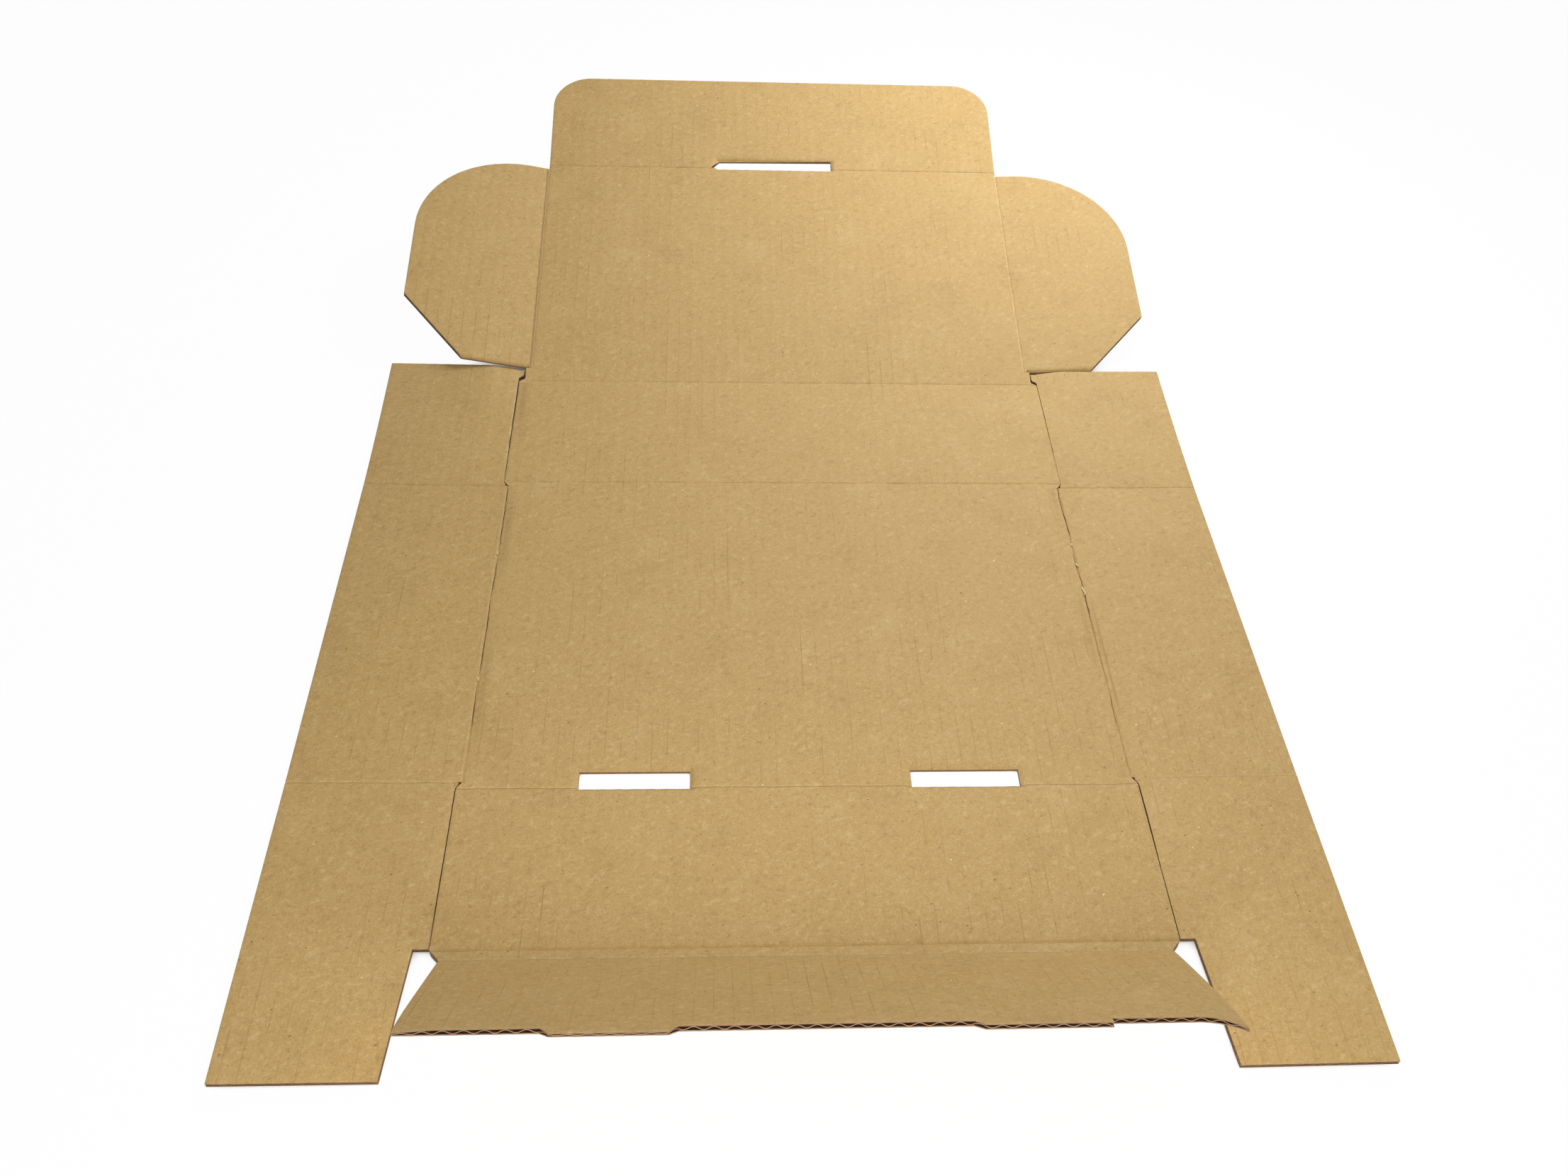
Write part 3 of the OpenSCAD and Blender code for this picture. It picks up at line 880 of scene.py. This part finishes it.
wide_near = np.concatenate([np.array([-3.0, -2.6, -2.0]) * MM, ACROSS])
crease_on_x("front_wall_crease", "front_wall", -HALF_D, -1, front_half_width, 61,
            offsets=wide_near, more=slot_sides, holes=slots, dip=slot_rim, marks=(0.5, 0.8))
board("front_wall_board", "front_wall", "front_wall", columns(-WALL_HALF, WALL_HALF),
      -STRIP_Y + HALF_CREASE, -HALF_D - HALF_CREASE, ("inner", "outer"))
crease_on_x("strip_crease", "strip", -STRIP_Y, -1, front_half_width, 62, depth=0.4 * MM,
            marks=(0.2, 0.5))
strip_rows = np.linspace(-LOCK_Y + HALF_CREASE, -STRIP_Y - HALF_CREASE, 4)[:, None]
strip_x = columns(-LOCK_HALF, LOCK_HALF) / LOCK_HALF * front_half_width(-strip_rows)
# Its rim takes the darker fluting paper as painted shade.
strip = joined("strip_board", [paper(
    strip_x, np.broadcast_to(strip_rows, strip_x.shape),
    lambda x, y: BOARD - WASHBOARD * (1 + flute_wave(x)) / 2, nothing, (INSIDE, INSIDE, FLUTING_AND_SHADE),
)])
move_mesh(strip, lambda p: lie(p, "strip"))
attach(strip, "strip")
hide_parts("rollover_strip")
crease_on_x("lock_flap_crease", "lock_flap", -LOCK_Y, -1, front_half_width, 63, depth=0.3 * MM,
            marks=(0.7, 0.2))
board("lock_flap_board", "lock_flap", "lock_flap", columns(-LOCK_HALF, LOCK_HALF, TAB_X),
      lock_flap_end, -LOCK_Y - HALF_CREASE, ("inner", "outer", "near"),
      press=lock_flap_press, bend=lock_flap_bend, middle_rows=8)


# Back wall and lid. The lid is a little narrower than the box, so that its ears slide in between
# the side walls; two slanted shoulders widen it to the back wall.
LID_Y = 163.5 * MM
LID_HALF = 131.5 * MM
SHOULDER = np.array([0, 1.6, 8.9]) * MM
SHOULDER_HALF = np.array([137.2, 134.3, 134.3]) * MM
TUCK_Y = 323.5 * MM


def back_half_width(y):
    flare = np.interp(y, [FLAP_Y, HALF_D], [HALF_W, WALL_HALF])
    return np.where(y < HALF_D, flare, np.interp(y, LID_Y + SHOULDER, SHOULDER_HALF))


def back_wall_painted_shade(x, y):
    """Painted shade: the left edge is darker towards the lid."""
    band = np.exp(-(((x + 134 * MM) / (1.7 * MM)) ** 2))
    return -0.45 * band * np.clip((y - 118 * MM) / (25 * MM), 0, 1)


crease_on_x("back_wall_crease", "back_wall", HALF_D, 1, back_half_width, 71, offsets=wide_near,
            marks=(0.4, 0.3))
board("back_wall_board", "back_wall", "back_wall", columns(-WALL_HALF, WALL_HALF),
      HALF_D + HALF_CREASE, LID_Y - HALF_CREASE, ("inner", "outer"), wear_and_shade=back_wall_painted_shade)
wide_far = np.concatenate([ACROSS, np.array([2.1, 3.4, 5.2, 7.0, 8.9]) * MM])
crease_on_x("lid_crease", "lid", LID_Y, 1, back_half_width, 72, offsets=wide_far, depth=0.2 * MM,
            marks=(0.3, 0.25))
board("lid_board", "lid", "lid", columns(-LID_HALF + HALF_CREASE, LID_HALF - HALF_CREASE),
      LID_Y + SHOULDER[-1], TUCK_Y - HALF_CREASE, ())


# Tuck flap. The front of the lid, which tucks in behind the front wall: two round corners for an
# easy entry, and a slot at the crease, cut slanting at its left end, that catches the rolled edge.
# Two nicks near its free edge are where the blank was held to its neighbour in the die.
TUCK_END = 392.5 * MM
TUCK_R = 22 * MM
TUCK_SLOT_HALF = 33.75 * MM
TUCK_SLOT_NEAR = 0.56 * MM
TUCK_SLOT_D = 6.6 * MM
SLOT_SLANT_REACH = 7 * MM
TUCK_NICKS = [(-43.6, 381.4, 0.1, 3.4, 0.7), (-35.2, 379.6, -0.35, 2.9, 0.6)]


def lid_half_width(y):
    return 0 * y + LID_HALF


def tuck_flap_end(x):
    into_corner = np.clip(np.abs(x) - LID_HALF + TUCK_R, 0, TUCK_R)
    return TUCK_END - TUCK_R + np.sqrt(TUCK_R**2 - into_corner**2)


def tuck_slot_warp(x, y):
    """Slants the left end of the slot and opens it a little towards the right."""
    depth = (y - TUCK_Y) / TUCK_SLOT_D
    end = np.exp(-(((x + TUCK_SLOT_HALF) / SLOT_SLANT_REACH) ** 2))
    slant = (-4.2 + 5.6 * np.clip(depth, 0, 1)) * MM * end * np.clip(depth * 8, 0, 1)
    slant = slant * np.clip((TUCK_Y + 16 * MM - y) / (11 * MM), 0, 1)
    along = np.exp(-(np.maximum(np.abs(x) - TUCK_SLOT_HALF, 0) / SLOT_SLANT_REACH) ** 2)
    at_rim = np.exp(-(((y - TUCK_Y - TUCK_SLOT_D) / (4 * MM)) ** 2)) * np.clip(depth, 0, 1)
    opened = 0.55 * MM * np.clip(x / TUCK_SLOT_HALF, -1, 1) * along * at_rim
    return x + slant, y + opened


tuck_slot = [(-TUCK_SLOT_HALF, TUCK_SLOT_HALF, TUCK_Y + TUCK_SLOT_NEAR, TUCK_Y + TUCK_SLOT_D)]
slot_ends = (-TUCK_SLOT_HALF, TUCK_SLOT_HALF)
corner_turns = np.sin(np.radians(np.arange(60, 90, 3)))
corner_columns = [s * (LID_HALF - TUCK_R * (1 - t)) for s in (-1, 1) for t in corner_turns]


def tuck_rim(x, y):
    return 1.25 * squeezed_rim(x, y, tuck_slot)


crease_on_x("tuck_flap_crease", "tuck_flap", TUCK_Y, 1, lid_half_width, 81, more=slot_ends,
            holes=tuck_slot, dip=tuck_rim, warp=tuck_slot_warp, marks=(0.35, 0.3))
board("tuck_flap_board", "tuck_flap", "tuck_flap",
      columns(-LID_HALF, LID_HALF, (*slot_ends, *corner_columns)),
      TUCK_Y + HALF_CREASE, tuck_flap_end, ("inner", "outer", "far"), holes=tuck_slot,
      near_rows=np.concatenate([[0, 1.5 * MM], TUCK_SLOT_D - HALF_CREASE + AT_RIM]),
      press=tuck_rim, warp=tuck_slot_warp, torn=TUCK_NICKS)


# Ears. The lid's side flaps, which slide down inside the side walls: one large round corner in
# front, and a slanted cut at the back that clears the corner flap.
EAR_OUT = 201 * MM
EAR_R = 61 * MM
EAR_BACK = 173 * MM
EAR_FRONT = 320.5 * MM
EAR_CUT = (168 * MM, 209.5 * MM)
EAR_PRESS = 1.2 * MM
PRESS_REACH = 0.7 * MM


def ear_back(out):
    return np.interp(out, [EAR_CUT[0], EAR_OUT], [EAR_BACK, EAR_CUT[1]])


def ear_front(out):
    into_corner = np.clip(out - EAR_OUT + EAR_R, 0, EAR_R)
    return EAR_FRONT - EAR_R + np.sqrt(EAR_R**2 - into_corner**2)


ear_turns = np.sin(np.radians(np.arange(66, 90, 2)))
# The dark band beside the left ear's crease is painted shade.
for side, name, marks in ((-1, "left", (1.1, 1.2)), (1, "right", (0.9, 0.0))):
    y_rows = np.concatenate([np.arange(172.4, 322, 1.8), [173, 320.5, 322]]) * MM
    outer_x = sorted((side * LID_HALF, side * (LID_HALF + 2 * HALF_CREASE)))
    crease_on_y(name + "_ear_crease", name + "_ear", LID_HALF, side, np.unique(y_rows.round(7)),
                91 + side, holes=[(*outer_x, EAR_FRONT, 1)], marks=marks,
                groove=(0.7 * MM, 0.55 * MM))
    board(name + "_ear_board", name + "_ear", name + "_ear",
          columns(LID_HALF + HALF_CREASE, EAR_OUT, [EAR_OUT - EAR_R * (1 - t) for t in ear_turns]),
          ear_back, ear_front, ("outer", "near", "far"), side=side,
          press=lambda x, y: EAR_PRESS * np.exp(-np.maximum(y - EAR_BACK, 0) / PRESS_REACH))


# Floor and light. A plain white table in an even room. One lamp stands behind and to the right,
# as a window would, and a second one in front of the blank, under the camera. Light that falls
# through narrow gaps is lost under the board, so the floor shows dark there.
ROOM_LIGHT = 0.26
FLOOR_GLOW = 0.97
GAP_REACH = 20 * MM
GAP_DARK, GAP_CLEAR = 0.26, 0.42
bpy.ops.object.select_all(action="DESELECT")
bpy.ops.mesh.primitive_plane_add(size=12, location=(0, 0, -0.2 * MM))
floor = bpy.context.object
floor.name = "floor"
floor_material = bpy.data.materials.new("white_floor")
floor_material.use_nodes = True
floor.data.materials.append(floor_material)
world = bpy.data.worlds.new("even_room")
world.use_nodes = True
bpy.context.scene.world = world
for tree, share, glow in (
    (floor_material.node_tree, FLOOR_GLOW, "Principled BSDF"),
    (world.node_tree, 1.0, "Background"),
):
    rays = add_node(tree, "ShaderNodeLightPath", {}).outputs
    seen = add_node(
        tree,
        "ShaderNodeMath",
        {0: rays["Is Camera Ray"], 1: rays["Is Glossy Ray"]},
        operation="ADD",
    ).outputs["Value"]
    seen = add_node(
        tree,
        "ShaderNodeMath",
        {0: seen, 1: rays["Is Transmission Ray"]},
        operation="ADD",
        use_clamp=True,
    ).outputs["Value"]
    seen = add_node(tree, "ShaderNodeMath", {0: seen, 1: share}, operation="MULTIPLY").outputs[0]
    if glow == "Principled BSDF":
        open_floor = add_node(
            tree, "ShaderNodeAmbientOcclusion", {"Distance": GAP_REACH}, samples=8
        ).outputs["AO"]
        open_floor = add_node(
            tree, "ShaderNodeMapRange",
            {"Value": open_floor, "From Min": GAP_DARK, "From Max": GAP_CLEAR},
        ).outputs["Result"]
        seen = add_node(
            tree, "ShaderNodeMath", {0: seen, 1: open_floor}, operation="MULTIPLY"
        ).outputs["Value"]
    white = add_node(
        tree,
        "ShaderNodeEmission" if glow == "Principled BSDF" else "ShaderNodeBackground",
        {"Color": (1, 1, 1, 1), "Strength": 1.0},
    )
    mixed = add_node(
        tree, "ShaderNodeMixShader", {0: seen, 1: tree.nodes[glow].outputs[0], 2: white.outputs[0]}
    )
    end = "Material Output" if glow == "Principled BSDF" else "World Output"
    tree.links.new(mixed.outputs["Shader"], tree.nodes[end].inputs["Surface"])
floor_shader = floor_material.node_tree.nodes["Principled BSDF"]
floor_shader.inputs["Base Color"].default_value = (0.9, 0.9, 0.9, 1)
floor_shader.inputs["Roughness"].default_value = 0.9
world.node_tree.nodes["Background"].inputs["Color"].default_value = (1, 1, 1, 1)
world.node_tree.nodes["Background"].inputs["Strength"].default_value = ROOM_LIGHT

for lamp_name, place, size, power, tint in (
    ("window_lamp", (0.22, 0.4, 0.4), 0.28, 2.58, (0.98, 1.0, 1.03)),
    ("front_lamp", (0.0, -0.45, 0.3), 0.25, 1.76, (1.0, 1.0, 1.0)),
):
    bpy.ops.object.light_add(type="AREA", location=place)
    lamp = bpy.context.object
    lamp.name = lamp_name
    lamp.visible_camera = False
    lamp.data.size = size
    lamp.data.energy = power
    lamp.data.color = tint
    lamp.rotation_euler = (-Vector(place)).to_track_quat("-Z", "Y").to_euler()

bpy.context.scene.view_settings.view_transform = "Standard"

bpy.context.view_layer.update()
